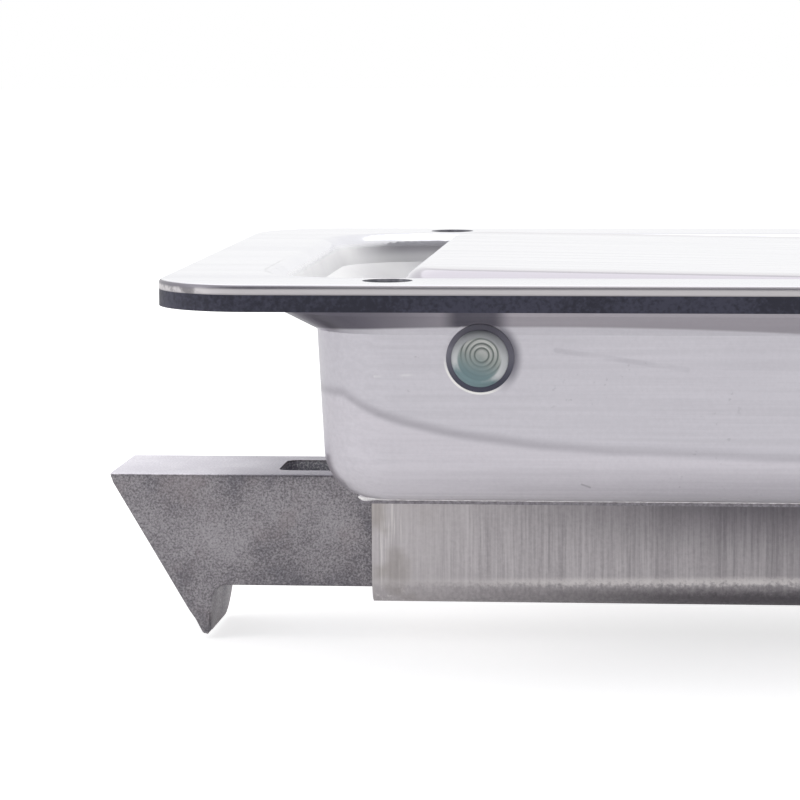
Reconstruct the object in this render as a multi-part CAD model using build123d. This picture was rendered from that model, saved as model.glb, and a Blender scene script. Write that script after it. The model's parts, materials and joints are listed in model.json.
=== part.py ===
from build123d import *
import math
import os

# Flush paddle latch with a spring-loaded slam bolt, in millimetres.
# Origin: centre of the four mounting holes, on the gasket's underside, which is the panel's outer face.
# +Z points out of the panel, +X from the bolt's nose towards the finger recess, Y along the pivot pin.

# --- mounting flange, gasket and pressed tray -------------------------------------------------------
SHEET = 1.2
FLANGE_X = 140.0
FLANGE_Y = 107.0
FLANGE_CORNER = 12.0
GASKET_THICK = 2.0
FLANGE_TOP = GASKET_THICK + SHEET
HOLE_X = 42.0
HOLE_Y = 46.5
HOLE_R = 3.0

# The recess's outer skin: half length, half width and corner radius at four levels.
RIM_HALF = (58.5, 41.8, 13.0)
LEDGE_HALF = (57.2, 41.2, 12.2)
WALL_HALF = (52.3, 40.2, 10.0)
LEDGE_TOP = -1.5
LEDGE_BOTTOM = -3.8
WALL_DRAFT = 3.0
TRAY_BOTTOM = -24.7
FLOOR_FILLET = 6.0
RIM_ROLL = 2.2
FLANGE_EDGE_R = 0.5
HOLLOW_GAP = 0.2

# --- pivot ------------------------------------------------------------------------------------------
PIVOT_X = -31.5
PIVOT_Z = -6.6
PIN_R = 3.0
PIN_RUNNING_GAP = 0.05
PIN_HEAD_R = 4.1
PIN_HEAD_RISE = 1.75
PIN_COLLAR_R = 3.45
PIN_FACE_R = 2.5
PIN_DOME_MID = (3.2, 1.35)
PIN_COLLAR_RISE = 0.7
PIN_FLANGE = 0.35
PEEN_R = 0.8
PEEN_NECK = 0.2
SEAT_GAP = 0.02
PIN_SEAT_R = 4.5
WASHER_R = 4.1
WASHER_THICK = 0.6

# --- paddle, carrier and drive arm ------------------------------------------------------------------
PADDLE_LEFT = -41.5
PADDLE_RIGHT = 31.0
PADDLE_HALF_Y = 38.2
PADDLE_TOP = 3.7
PADDLE_THICK = 1.5
PADDLE_RIM = 4.4
PADDLE_CORNER = 7.0
PADDLE_EDGE_R = 2.4
PADDLE_TILT = 0.9

CARRIER_LEFT = -38.0
CARRIER_RIGHT = -12.0
CARRIER_THICK = 2.0
EAR_OUTER_Y = 22.0
EAR_R = 6.0
BUSH_R = 4.0
BUSH_FLANGE_R = 5.6
BUSH_FLANGE = 1.0
SPACER_WALL = 1.5
SPACER_GAP_IN = 0.2
SPACER_GAP_OUT = 0.5

ARM_HALF_Y = 4.0
ARM_LENGTH = 24.0
ARM_LEAN = 15.0
ARM_TIP_R = 3.5
ARM_SHANK_R = 2.0
ARM_SHANK_START = 13.5
ARM_HUB_R = 5.8
ARM_FOOT_MID_X = -28.5
ARM_FOOT_LENGTH = 20.0
ARM_FOOT_THICK = 2.4
ARM_WEB_LEFT = 6.5
ARM_WEB_RIGHT = 9.5

# --- bolt -------------------------------------------------------------------------------------------
BOLT_HALF_Y = 9.75
BOLT_TOP = -24.9
SHANK_TOP = -25.2
LAND_END_X = -51.0
BOLT_BOTTOM = -39.5
BOLT_NOSE_X = -82.2
BOLT_REAR_X = -6.0
TIP_X = -69.9
TIP_Z = -46.0
HOOK_BACK_X = -68.9
HOOK_FILLET = 2.0
NOSE_BLUNT = 1.2
NOSE_SET_BACK = 0.42
TIP_FLAT = (0.4, 0.3)
TIP_LIFT = 0.2
BOLT_EDGE_R = 0.4
TIP_CORNER = 4.0
POCKET_LEFT = -60.7
POCKET_HALF_Y = 5.3
POCKET_FLOOR = -35.0
POCKET_GAP = 0.3
POCKET_CORNER = 1.5
SPRING_BORE_R = 4.8
SPRING_BORE_DEPTH = 22.0

# --- channel, liner and return springs --------------------------------------------------------------
CHANNEL_LEFT = -47.75
CHANNEL_RIGHT = 24.0
CHANNEL_INNER_Y = 10.2
CHANNEL_BOTTOM = -41.5
CHANNEL_BEND = 3.0
FOOT_BEND_R = 0.8
FOOT_HALF_Y = 28.8
LINER_THICK = 0.8
LINER_SIDE_GAP = 0.2
LINER_END_GAP = 1.0
END_TAB = 10.0
ROD_R = 2.6
ROD_HEAD_R = 4.6
ROD_HEAD = 1.4
ROD_TIP_X = -10.0
ROD_HEAD_CHAMFER = 0.6
ROD_TIP_CHAMFER = 0.8
SEAT_WASHER_R = 4.7
SEAT_WASHER_THICK = 0.8
COIL_R = 3.9
COIL_END_GAP = 0.1
COIL_WIRE = 1.0
COIL_TURNS = 12
COIL_STEPS = 16
TORSION_R = 4.6
TORSION_WIRE = 1.2
TORSION_TURNS = 4
TORSION_LEG_UP = 6.7
TORSION_LEG_DOWN = 16.6
TORSION_START_Y = 5.4

# --- slot in the tray floor -------------------------------------------------------------------------
SLOT_LEFT = -41.0
SLOT_RIGHT = -22.0
SLOT_HALF_Y = 6.5
GROMMET_LIP = 1.0
GROMMET_THICK = 0.9

# Worked-out places
FLOOR_TOP = TRAY_BOTTOM + SHEET
BOLT_MID_Z = (BOLT_TOP + BOLT_BOTTOM) / 2
PUSH_X = PIVOT_X - ARM_LENGTH * math.sin(math.radians(ARM_LEAN)) + ARM_TIP_R + POCKET_GAP
PIVOT_WALL_Y = WALL_HALF[1] - (LEDGE_BOTTOM - PIVOT_Z) * math.tan(math.radians(WALL_DRAFT))


def slab(half_x, half_y, corner, z):
    """Rounded rectangle lying at height z."""
    return Pos(0, 0, z) * RectangleRounded(2 * half_x, 2 * half_y, corner)


def across(x, z, radius, y_from, y_to):
    """Cylinder along Y, between two Y planes."""
    disc = Plane(origin=(x, y_from, z), x_dir=(1, 0, 0), z_dir=(0, 1, 0)) * Circle(radius)
    return extrude(disc, amount=y_to - y_from)


def along(y, z, radius, x_from, x_to):
    """Cylinder along X, between two X planes."""
    disc = Plane(origin=(x_from, y, z), x_dir=(0, 1, 0), z_dir=(1, 0, 0)) * Circle(radius)
    return extrude(disc, amount=x_to - x_from)


def side_profile(face, half_y, mid_y=0.0):
    """Carries a face drawn in X and Z through the thickness from mid_y - half_y to mid_y + half_y."""
    upright = Plane(origin=(0, mid_y + half_y, 0), x_dir=(1, 0, 0), z_dir=(0, -1, 0)) * face
    return extrude(upright, amount=2 * half_y)


def mounting_holes(radius, z_low, z_high):
    """The four through holes of the mounting pattern."""
    height = z_high - z_low
    centre = Pos(0, 0, (z_low + z_high) / 2)
    return centre * GridLocations(2 * HOLE_X, 2 * HOLE_Y, 2, 2) * Cylinder(radius, height)


def inward(half, distance):
    """A recess size moved inward all round by a distance."""
    return (half[0] - distance, half[1] - distance, half[2] - distance)


def pan(inset, lift):
    """Solid form of the pressed recess: rim, sloping ledge, drafted wall and rounded floor.

    inset is the sheet's thickness for the inner form and 0 for the outer one; lift raises its ends.
    Where the skin slopes, only a share of the thickness counts sideways or downwards.
    """
    wall_top = LEDGE_BOTTOM + 0.55 * inset
    wall_low = TRAY_BOTTOM + lift
    draft = (wall_top - wall_low) * math.tan(math.radians(WALL_DRAFT))
    rim_section = slab(*inward(RIM_HALF, 0.8 * inset), GASKET_THICK + lift)
    ledge_section = slab(*inward(LEDGE_HALF, 0.93 * inset), LEDGE_TOP + 0.6 * inset)
    wall_section = slab(*inward(WALL_HALF, inset), wall_top)
    floor_section = slab(*inward(WALL_HALF, inset + draft), wall_low)
    wall = loft([wall_section, floor_section])
    wall = fillet(wall.faces().sort_by(Axis.Z)[0].edges(), FLOOR_FILLET - inset)
    return loft([rim_section, ledge_section]) + loft([ledge_section, wall_section]) + wall


def floor_slot(half_y, left, right, z_low, z_high):
    """Round-ended slot through the tray floor for the drive arm."""
    face = Pos((left + right) / 2, 0, z_low) * SlotOverall(right - left, 2 * half_y)
    return extrude(face, amount=z_high - z_low)


def make_tray():
    """Pressed stainless tray: flange, recess, floor slot, pivot holes and mounting holes in one sheet."""
    flange = extrude(slab(FLANGE_X / 2, FLANGE_Y / 2, FLANGE_CORNER, GASKET_THICK), amount=SHEET)
    tray = flange + pan(0.0, 0.0) - pan(SHEET, SHEET)
    rim_line = (
        tray.edges()
        .filter_by(lambda e: abs(e.center().Z - FLANGE_TOP) < 0.01)
        .filter_by(lambda e: abs(e.center().X) < RIM_HALF[0] and abs(e.center().Y) < RIM_HALF[1])
    )
    tray = fillet(rim_line, RIM_ROLL)
    flat_x, flat_y = RIM_HALF[0] + 2 * RIM_ROLL, RIM_HALF[1] + 2 * RIM_ROLL
    top_edge = (
        tray.edges()
        .filter_by(lambda e: abs(e.center().Z - FLANGE_TOP) < 0.01)
        .filter_by(lambda e: abs(e.center().X) > flat_x or abs(e.center().Y) > flat_y)
    )
    tray = fillet(top_edge, FLANGE_EDGE_R)
    tray -= mounting_holes(HOLE_R, 0, FLANGE_TOP + 1)
    tray -= across(PIVOT_X, PIVOT_Z, PIN_R, -RIM_HALF[1], RIM_HALF[1])
    for side in (-1, 1):
        tray -= across(PIVOT_X, PIVOT_Z, PIN_SEAT_R, side * (PIVOT_WALL_Y + 0.01), side * RIM_HALF[1])
    tray -= floor_slot(SLOT_HALF_Y, SLOT_LEFT, SLOT_RIGHT, TRAY_BOTTOM - 1, FLOOR_TOP + 1)
    return tray


def make_gasket():
    """Flat rubber frame under the flange, cut to clear the recess and the screws."""
    outer = extrude(slab(FLANGE_X / 2, FLANGE_Y / 2, FLANGE_CORNER, 0), amount=GASKET_THICK)
    inner = extrude(slab(*inward(RIM_HALF, -HOLLOW_GAP), -1), amount=GASKET_THICK + 2)
    return outer - inner - mounting_holes(HOLE_R, -1, GASKET_THICK + 1)


def tilted(shape):
    """Turns a paddle piece about the pivot so that its free end lies flush with the flange."""
    pivot = Pos(PIVOT_X, 0, PIVOT_Z)
    return pivot * Rot(0, PADDLE_TILT, 0) * pivot.inverse() * shape


def make_paddle_plate():
    """Pressed paddle: rounded plate with a rolled edge and a short rim all round, open below."""
    mid_x = (PADDLE_LEFT + PADDLE_RIGHT) / 2
    half_x = (PADDLE_RIGHT - PADDLE_LEFT) / 2
    depth = PADDLE_RIM
    outer = extrude(
        Pos(mid_x, 0, 0) * slab(half_x, PADDLE_HALF_Y, PADDLE_CORNER, PADDLE_TOP - depth), amount=depth
    )
    outer = fillet(outer.faces().sort_by(Axis.Z)[-1].edges(), PADDLE_EDGE_R)
    inner_top = PADDLE_TOP - PADDLE_THICK
    inner = extrude(
        Pos(mid_x, 0, 0)
        * slab(half_x - PADDLE_THICK, PADDLE_HALF_Y - PADDLE_THICK, PADDLE_CORNER - PADDLE_THICK,
               PADDLE_TOP - depth - 1),
        amount=inner_top - (PADDLE_TOP - depth - 1),
    )
    inner = fillet(inner.faces().sort_by(Axis.Z)[-1].edges(), PADDLE_EDGE_R - PADDLE_THICK)
    return tilted(outer - inner)


def make_paddle_carrier():
    """U-shaped bracket welded under the paddle: a flat base with two ears bored for the pivot bushes."""
    base_top = PADDLE_TOP - PADDLE_THICK
    base_low = base_top - CARRIER_THICK
    length = CARRIER_RIGHT - CARRIER_LEFT
    base = Pos((CARRIER_LEFT + CARRIER_RIGHT) / 2, 0, base_low) * Rectangle(length, 2 * EAR_OUTER_Y)
    carrier = extrude(base, amount=CARRIER_THICK)
    ear_face = make_hull(
        [
            (Pos(PIVOT_X, PIVOT_Z) * Circle(EAR_R)).edge(),
            Line((CARRIER_LEFT, base_top - 0.01), (CARRIER_RIGHT, base_top - 0.01)),
        ]
    )
    for side in (-1, 1):
        mid_y = side * (EAR_OUTER_Y - CARRIER_THICK / 2)
        carrier += side_profile(ear_face, CARRIER_THICK / 2, mid_y)
    carrier -= across(PIVOT_X, PIVOT_Z, BUSH_R, -EAR_OUTER_Y - 1, EAR_OUTER_Y + 1)
    return tilted(carrier)


def make_pivot_bush(side):
    """Flanged nylon bush pressed into one ear, its flange outside."""
    ear_in = EAR_OUTER_Y - CARRIER_THICK
    sleeve = across(PIVOT_X, PIVOT_Z, BUSH_R, side * ear_in, side * EAR_OUTER_Y)
    flange = across(PIVOT_X, PIVOT_Z, BUSH_FLANGE_R, side * EAR_OUTER_Y, side * (EAR_OUTER_Y + BUSH_FLANGE))
    bore = across(PIVOT_X, PIVOT_Z, PIN_R + PIN_RUNNING_GAP, side * (ear_in - 1), side * (EAR_OUTER_Y + 3))
    return sleeve + flange - bore


def make_spacer(side):
    """Steel tube on the pin that centres the carrier between the tray walls."""
    y_in = EAR_OUTER_Y + BUSH_FLANGE + SPACER_GAP_IN
    y_out = PIVOT_WALL_Y - SHEET - SPACER_GAP_OUT
    tube = across(PIVOT_X, PIVOT_Z, PIN_R + SPACER_WALL, side * y_in, side * y_out)
    return tube - across(PIVOT_X, PIVOT_Z, PIN_R + PIN_RUNNING_GAP, side * (y_in - 1), side * (y_out + 1))


def arm_point(distance):
    """X and Z of a point on the arm's centre line, at a distance from the pivot axis."""
    lean = math.radians(ARM_LEAN)
    return (PIVOT_X - distance * math.sin(lean), PIVOT_Z - distance * math.cos(lean))


def make_drive_arm():
    """Cast lever: hub on the pin, tapering arm to a round tip, and a foot welded under the carrier."""
    hub = Pos(PIVOT_X, PIVOT_Z) * Circle(ARM_HUB_R)
    shank_start = Pos(*arm_point(ARM_SHANK_START)) * Circle(ARM_SHANK_R)
    shank_end = Pos(*arm_point(ARM_LENGTH)) * Circle(ARM_SHANK_R)
    tip = Pos(*arm_point(ARM_LENGTH)) * Circle(ARM_TIP_R)
    neck = make_hull([hub.edge(), shank_start.edge()])
    shank = make_hull([shank_start.edge(), shank_end.edge()])
    foot_top = PADDLE_TOP - PADDLE_THICK - CARRIER_THICK
    foot = Pos(ARM_FOOT_MID_X, foot_top - ARM_FOOT_THICK / 2) * Rectangle(ARM_FOOT_LENGTH, ARM_FOOT_THICK)
    web_z = foot_top - ARM_FOOT_THICK / 2
    web_line = Line((PIVOT_X - ARM_WEB_LEFT, web_z), (PIVOT_X + ARM_WEB_RIGHT, web_z))
    web = make_hull([hub.edge(), web_line])
    pivot = Pos(PIVOT_X, PIVOT_Z)
    upper = pivot * Rot(0, 0, -PADDLE_TILT) * pivot.inverse() * (web + foot)
    arm = side_profile(neck + shank + tip + upper, ARM_HALF_Y)
    return arm - across(PIVOT_X, PIVOT_Z, PIN_R + PIN_RUNNING_GAP, -ARM_HALF_Y - 2, ARM_HALF_Y + 2)


def make_pivot_pin():
    """Headed pin across the tray: collared flat-faced head in front, peened end over a washer behind."""
    front = PIVOT_WALL_Y + SEAT_GAP
    rear = front + WASHER_THICK
    peen_start = rear + PEEN_NECK
    peen_end = peen_start + PEEN_R
    dome_r, dome_rise = PIN_DOME_MID
    half_section = make_face(
        [
            Line((0, -front - PIN_HEAD_RISE), (PIN_FACE_R, -front - PIN_HEAD_RISE)),
            ThreePointArc(
                (PIN_FACE_R, -front - PIN_HEAD_RISE), (dome_r, -front - dome_rise),
                (PIN_COLLAR_R, -front - PIN_COLLAR_RISE),
            ),
            Line((PIN_COLLAR_R, -front - PIN_COLLAR_RISE), (PIN_HEAD_R, -front - PIN_FLANGE)),
            Line((PIN_HEAD_R, -front - PIN_FLANGE), (PIN_HEAD_R, -front)),
            Line((PIN_HEAD_R, -front), (PIN_R, -front)),
            Line((PIN_R, -front), (PIN_R, rear)),
            Line((PIN_R, rear), (PIN_COLLAR_R, rear)),
            Line((PIN_COLLAR_R, rear), (PIN_COLLAR_R, peen_start)),
            TangentArc((PIN_COLLAR_R, peen_start), (PIN_COLLAR_R - PEEN_R, peen_end), tangent=(0, 1)),
            Line((PIN_COLLAR_R - PEEN_R, peen_end), (0, peen_end)),
            Line((0, peen_end), (0, -front - PIN_HEAD_RISE)),
        ]
    )
    return Pos(PIVOT_X, 0, PIVOT_Z) * revolve(half_section, Axis.Y, 360)


def make_pin_washer():
    """Plain washer under the peened end of the pivot pin."""
    y_seat = PIVOT_WALL_Y + SEAT_GAP
    washer = across(PIVOT_X, PIVOT_Z, WASHER_R, y_seat, y_seat + WASHER_THICK)
    return washer - across(PIVOT_X, PIVOT_Z, PIN_R, y_seat - 1, y_seat + WASHER_THICK + 1)


def wire_along(points, radius):
    """Round wire drawn as a six-sided bar through the points, with its ends square to its first run."""
    sections = []
    for i, point in enumerate(points):
        ahead = points[min(i + 1, len(points) - 1)] - points[max(i - 1, 0)]
        across_wire = ahead.cross(Vector(0, 0, 1)) if abs(ahead.normalized().Z) < 0.9 else Vector(1, 0, 0)
        place = Plane(origin=point, x_dir=across_wire, z_dir=ahead)
        sections.append(place * RegularPolygon(radius, 6))
    return loft(sections, ruled=True)


def make_paddle_spring():
    """Pair of torsion coils round the pin, each with a leg up to the carrier and a leg down to the floor."""
    pitch = TORSION_WIRE * 1.25
    steps = TORSION_TURNS * COIL_STEPS
    coil = []
    for i in range(steps + 1):
        turn = 2 * math.pi * i / COIL_STEPS
        # Starts and ends on the side away from the finger recess, going round towards the floor.
        x = PIVOT_X - TORSION_R * math.cos(turn)
        z = PIVOT_Z - TORSION_R * math.sin(turn)
        coil.append(Vector(x, TORSION_START_Y + pitch * i / COIL_STEPS, z))
    up = coil[0] + Vector(0, 0, TORSION_LEG_UP)
    down = coil[-1] - Vector(0, 0, TORSION_LEG_DOWN)
    half = wire_along([up] + coil + [down], TORSION_WIRE / 2)
    return half + mirror(half, Plane.XZ)


def make_floor_grommet():
    """Rubber ring lining the floor slot; the arm rests against its left end."""
    low = TRAY_BOTTOM
    high = FLOOR_TOP + GROMMET_THICK
    body = floor_slot(SLOT_HALF_Y - 0.02, SLOT_LEFT + 0.02, SLOT_RIGHT - 0.02, low, high)
    lip = floor_slot(
        SLOT_HALF_Y + GROMMET_LIP, SLOT_LEFT - GROMMET_LIP, SLOT_RIGHT + GROMMET_LIP, FLOOR_TOP, high
    )
    mouth = floor_slot(
        SLOT_HALF_Y - GROMMET_THICK, SLOT_LEFT + GROMMET_THICK, SLOT_RIGHT - GROMMET_THICK, low - 1, high + 1
    )
    return body + lip - mouth


def make_bolt():
    """Cast slam bolt: bevelled nose with a hooked tip, drive pocket in the top, spring bore in the rear.

    The land that bears on the striker ends short of the channel; the shank behind it is a little lower.
    """
    bevel_x = BOLT_NOSE_X + NOSE_SET_BACK
    tip_back = (TIP_X + TIP_FLAT[0], TIP_Z)
    tip_front = (TIP_X - TIP_FLAT[1], TIP_Z + TIP_LIFT)
    outline = [
        Line((BOLT_NOSE_X, BOLT_TOP), (BOLT_REAR_X, BOLT_TOP)),
        Line((BOLT_REAR_X, BOLT_TOP), (BOLT_REAR_X, BOLT_BOTTOM)),
        Line((BOLT_REAR_X, BOLT_BOTTOM), (HOOK_BACK_X + HOOK_FILLET, BOLT_BOTTOM)),
        TangentArc(
            (HOOK_BACK_X + HOOK_FILLET, BOLT_BOTTOM), (HOOK_BACK_X, BOLT_BOTTOM - HOOK_FILLET),
            tangent=(-1, 0),
        ),
        Line((HOOK_BACK_X, BOLT_BOTTOM - HOOK_FILLET), tip_back),
        Line(tip_back, tip_front),
        Line(tip_front, (bevel_x, BOLT_TOP - NOSE_BLUNT)),
        Line((bevel_x, BOLT_TOP - NOSE_BLUNT), (BOLT_NOSE_X, BOLT_TOP)),
    ]
    bolt = side_profile(make_face(outline), BOLT_HALF_Y)
    long_edges = bolt.edges().filter_by(Axis.X).filter_by(lambda e: e.length > BOLT_HALF_Y * 2)
    bolt = fillet(long_edges, BOLT_EDGE_R)
    bolt -= Pos((LAND_END_X + BOLT_REAR_X) / 2, 0, BOLT_TOP) * Box(
        BOLT_REAR_X - LAND_END_X, 2 * BOLT_HALF_Y, 2 * (BOLT_TOP - SHANK_TOP)
    )
    pocket_x = PUSH_X - POCKET_LEFT
    pocket = Pos((PUSH_X + POCKET_LEFT) / 2, 0, POCKET_FLOOR) * RectangleRounded(
        pocket_x, 2 * POCKET_HALF_Y, POCKET_CORNER
    )
    bolt -= extrude(pocket, amount=BOLT_TOP - POCKET_FLOOR + 1)
    bolt -= along(0, BOLT_MID_Z, SPRING_BORE_R, BOLT_REAR_X - SPRING_BORE_DEPTH, BOLT_REAR_X + 1)
    for side in (-1, 1):
        bolt -= tip_corner_waste(side)
    return bolt


def tip_corner_waste(side):
    """What is ground off one lower corner of the hooked tip to round it."""
    mid_y = side * (BOLT_HALF_Y - TIP_CORNER)
    mid_z = TIP_Z + TIP_CORNER
    length = BOLT_BOTTOM - TIP_Z + HOOK_BACK_X - BOLT_NOSE_X
    block = Pos(HOOK_BACK_X - length / 2 + 1, mid_y + side * TIP_CORNER, mid_z - TIP_CORNER) * Box(
        length, 2 * TIP_CORNER, 2 * TIP_CORNER
    )
    return block - along(mid_y, mid_z, TIP_CORNER, HOOK_BACK_X - length, HOOK_BACK_X + 2)


def make_bolt_channel():
    """Folded steel channel of hat section that guides the bolt, its feet welded under the tray floor."""
    outer_y = CHANNEL_INNER_Y + SHEET
    depth = TRAY_BOTTOM - CHANNEL_BOTTOM
    mid_z = (TRAY_BOTTOM + CHANNEL_BOTTOM) / 2
    body = Pos(0, mid_z) * Rectangle(2 * outer_y, depth)
    body = fillet(body.vertices().group_by(Axis.Y)[0], CHANNEL_BEND)
    hollow = Pos(0, mid_z + SHEET) * Rectangle(2 * CHANNEL_INNER_Y, depth)
    hollow = fillet(hollow.vertices().group_by(Axis.Y)[0], CHANNEL_BEND - SHEET)
    section = Plane(origin=(CHANNEL_LEFT, 0, 0), x_dir=(0, 1, 0), z_dir=(1, 0, 0)) * (body - hollow)
    channel = extrude(section, amount=CHANNEL_RIGHT - CHANNEL_LEFT)
    foot_length = CHANNEL_RIGHT - CHANNEL_LEFT
    for side in (-1, 1):
        foot = Pos(
            CHANNEL_LEFT + foot_length / 2,
            side * (outer_y - SHEET + FOOT_HALF_Y) / 2,
            TRAY_BOTTOM - SHEET / 2,
        ) * Box(foot_length, FOOT_HALF_Y - outer_y + SHEET, SHEET)
        channel += foot
    bend = channel.edges().filter_by(Axis.X).filter_by(
        lambda e: abs(abs(e.center().Y) - outer_y) < 0.01 and abs(e.center().Z - TRAY_BOTTOM + SHEET) < 0.01
    )
    return fillet(bend, FOOT_BEND_R)


def make_channel_liner():
    """Thin nylon strip on the channel floor that the bolt slides on."""
    width = 2 * (CHANNEL_INNER_Y - CHANNEL_BEND + SHEET - LINER_SIDE_GAP)
    length = CHANNEL_RIGHT - SHEET - CHANNEL_LEFT - 2 * LINER_END_GAP
    floor = CHANNEL_BOTTOM + SHEET
    mid_x = CHANNEL_LEFT + LINER_END_GAP + length / 2
    return Pos(mid_x, 0, floor + LINER_THICK / 2) * Box(length, width, LINER_THICK)


def make_channel_end_plate():
    """Folded plate closing the channel's rear end, with a tab welded to the tray floor."""
    top = TRAY_BOTTOM
    low = CHANNEL_BOTTOM + SHEET
    x_face = CHANNEL_RIGHT - SHEET
    profile = make_face(
        Polyline(
            (x_face, top), (CHANNEL_RIGHT + END_TAB, top), (CHANNEL_RIGHT + END_TAB, top - SHEET),
            (CHANNEL_RIGHT + 0.01, top - SHEET), (CHANNEL_RIGHT + 0.01, low), (x_face, low), close=True
        )
    )
    plate = side_profile(profile, CHANNEL_INNER_Y - 0.02)
    lower = plate.edges().filter_by(Axis.X).sort_by(Axis.Z)[0:2]
    plate = fillet(lower, CHANNEL_BEND - SHEET)
    return plate - along(0, BOLT_MID_Z, ROD_R, x_face - 1, CHANNEL_RIGHT + 1)


def make_spring_guide_rod():
    """Headed rod riveted through the end plate; it keeps the bolt spring straight."""
    rod = along(0, BOLT_MID_Z, ROD_R, ROD_TIP_X, CHANNEL_RIGHT + 0.02)
    head = along(0, BOLT_MID_Z, ROD_HEAD_R, CHANNEL_RIGHT + 0.02, CHANNEL_RIGHT + ROD_HEAD)
    head = chamfer(head.edges().sort_by(Axis.X)[-1], ROD_HEAD_CHAMFER)
    rod = chamfer(rod.edges().sort_by(Axis.X)[0], ROD_TIP_CHAMFER)
    return rod + head


def make_spring_seat_washer():
    """Hardened washer on the guide rod that the bolt spring presses against the end plate."""
    x_face = CHANNEL_RIGHT - SHEET
    washer = along(0, BOLT_MID_Z, SEAT_WASHER_R, x_face - SEAT_WASHER_THICK, x_face)
    return washer - along(0, BOLT_MID_Z, ROD_R, x_face - SEAT_WASHER_THICK - 1, x_face + 1)


def make_bolt_spring():
    """Compression spring from the bottom of the bolt's bore to the seat washer."""
    x_low = BOLT_REAR_X - SPRING_BORE_DEPTH + COIL_WIRE / 2 + COIL_END_GAP
    x_high = CHANNEL_RIGHT - SHEET - SEAT_WASHER_THICK - COIL_WIRE / 2 - COIL_END_GAP
    steps = COIL_TURNS * COIL_STEPS
    points = []
    for i in range(steps + 1):
        turn = 2 * math.pi * i / COIL_STEPS
        x = x_low + (x_high - x_low) * i / steps
        points.append(Vector(x, COIL_R * math.cos(turn), BOLT_MID_Z + COIL_R * math.sin(turn)))
    return wire_along(points, COIL_WIRE / 2)


PIECES = {
    "tray": make_tray,
    "gasket": make_gasket,
    "paddle_plate": make_paddle_plate,
    "paddle_carrier": make_paddle_carrier,
    "pivot_bush_front": lambda: make_pivot_bush(-1),
    "pivot_bush_rear": lambda: make_pivot_bush(1),
    "spacer_tube_front": lambda: make_spacer(-1),
    "spacer_tube_rear": lambda: make_spacer(1),
    "drive_arm": make_drive_arm,
    "pivot_pin": make_pivot_pin,
    "pivot_pin_washer": make_pin_washer,
    "paddle_spring": make_paddle_spring,
    "floor_grommet": make_floor_grommet,
    "bolt": make_bolt,
    "bolt_channel": make_bolt_channel,
    "channel_liner": make_channel_liner,
    "channel_end_plate": make_channel_end_plate,
    "spring_guide_rod": make_spring_guide_rod,
    "spring_seat_washer": make_spring_seat_washer,
    "bolt_spring": make_bolt_spring,
}

os.makedirs("parts", exist_ok=True)
for name, make in PIECES.items():
    export_step(make(), f"parts/{name}.step")
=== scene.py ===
"""Visual model of a flush paddle latch with a slam bolt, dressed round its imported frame.

The axes are the frame's own: +Z out of the panel, +X from the bolt's nose towards the finger
recess, Y along the pivot pin. Sizes of the latch and of its patterns are in millimetres, which MM
turns to metres. The studio's sizes are in metres.
"""

from __future__ import annotations

import json
import logging
import math
from dataclasses import dataclass, field
from enum import Enum
from functools import cached_property, reduce

import bpy
import numpy as np
from mathutils import Matrix, Vector

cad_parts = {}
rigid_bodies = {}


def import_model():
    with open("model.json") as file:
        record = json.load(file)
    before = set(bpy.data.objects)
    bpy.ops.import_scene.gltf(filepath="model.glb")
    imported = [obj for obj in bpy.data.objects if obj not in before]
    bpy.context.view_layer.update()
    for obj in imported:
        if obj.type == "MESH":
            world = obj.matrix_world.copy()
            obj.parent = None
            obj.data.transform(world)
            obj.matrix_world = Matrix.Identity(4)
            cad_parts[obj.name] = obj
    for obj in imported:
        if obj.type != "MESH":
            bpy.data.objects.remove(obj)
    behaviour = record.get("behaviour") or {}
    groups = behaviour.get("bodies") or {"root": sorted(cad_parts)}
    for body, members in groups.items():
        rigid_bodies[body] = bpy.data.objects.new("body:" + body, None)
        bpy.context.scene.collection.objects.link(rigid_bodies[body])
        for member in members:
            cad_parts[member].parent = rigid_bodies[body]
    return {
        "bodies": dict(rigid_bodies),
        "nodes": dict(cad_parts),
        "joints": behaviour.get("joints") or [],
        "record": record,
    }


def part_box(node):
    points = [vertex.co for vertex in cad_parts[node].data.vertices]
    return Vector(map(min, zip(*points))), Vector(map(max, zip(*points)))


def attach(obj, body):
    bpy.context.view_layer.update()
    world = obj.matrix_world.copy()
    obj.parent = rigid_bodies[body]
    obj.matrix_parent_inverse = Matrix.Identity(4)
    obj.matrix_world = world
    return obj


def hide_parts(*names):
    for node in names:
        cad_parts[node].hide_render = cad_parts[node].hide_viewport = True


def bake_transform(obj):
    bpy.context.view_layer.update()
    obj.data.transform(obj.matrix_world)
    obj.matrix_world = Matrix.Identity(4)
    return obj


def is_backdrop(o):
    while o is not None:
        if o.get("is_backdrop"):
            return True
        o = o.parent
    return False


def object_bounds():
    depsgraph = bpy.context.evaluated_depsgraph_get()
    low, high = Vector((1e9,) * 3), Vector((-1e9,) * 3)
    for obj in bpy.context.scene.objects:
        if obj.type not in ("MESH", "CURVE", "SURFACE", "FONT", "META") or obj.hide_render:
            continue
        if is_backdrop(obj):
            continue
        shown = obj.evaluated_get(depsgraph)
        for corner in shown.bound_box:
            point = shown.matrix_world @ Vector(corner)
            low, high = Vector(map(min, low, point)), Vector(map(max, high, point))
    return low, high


MM = 0.001
Socket = bpy.types.NodeSocket
log = logging.getLogger("paddle_latch")

# X and Z of the pivot pin's axis, and the centre of the tool rings on its face from that axis.
PIN_AXIS = (-31.5, -6.6)
RING_CENTRE = (0.3, 0.55)
# Radius of the first ring, and the distance from one ring to the next.
RING_FIRST = 0.85
RING_PITCH = 0.55
# Width of a noise blob or a pit cell where the texture's scale is 1.
BLOB_WIDTH = 0.5
# Angle in degrees past which an edge between two faces stays sharp.
SHARP_ANGLE = 35.0


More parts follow.
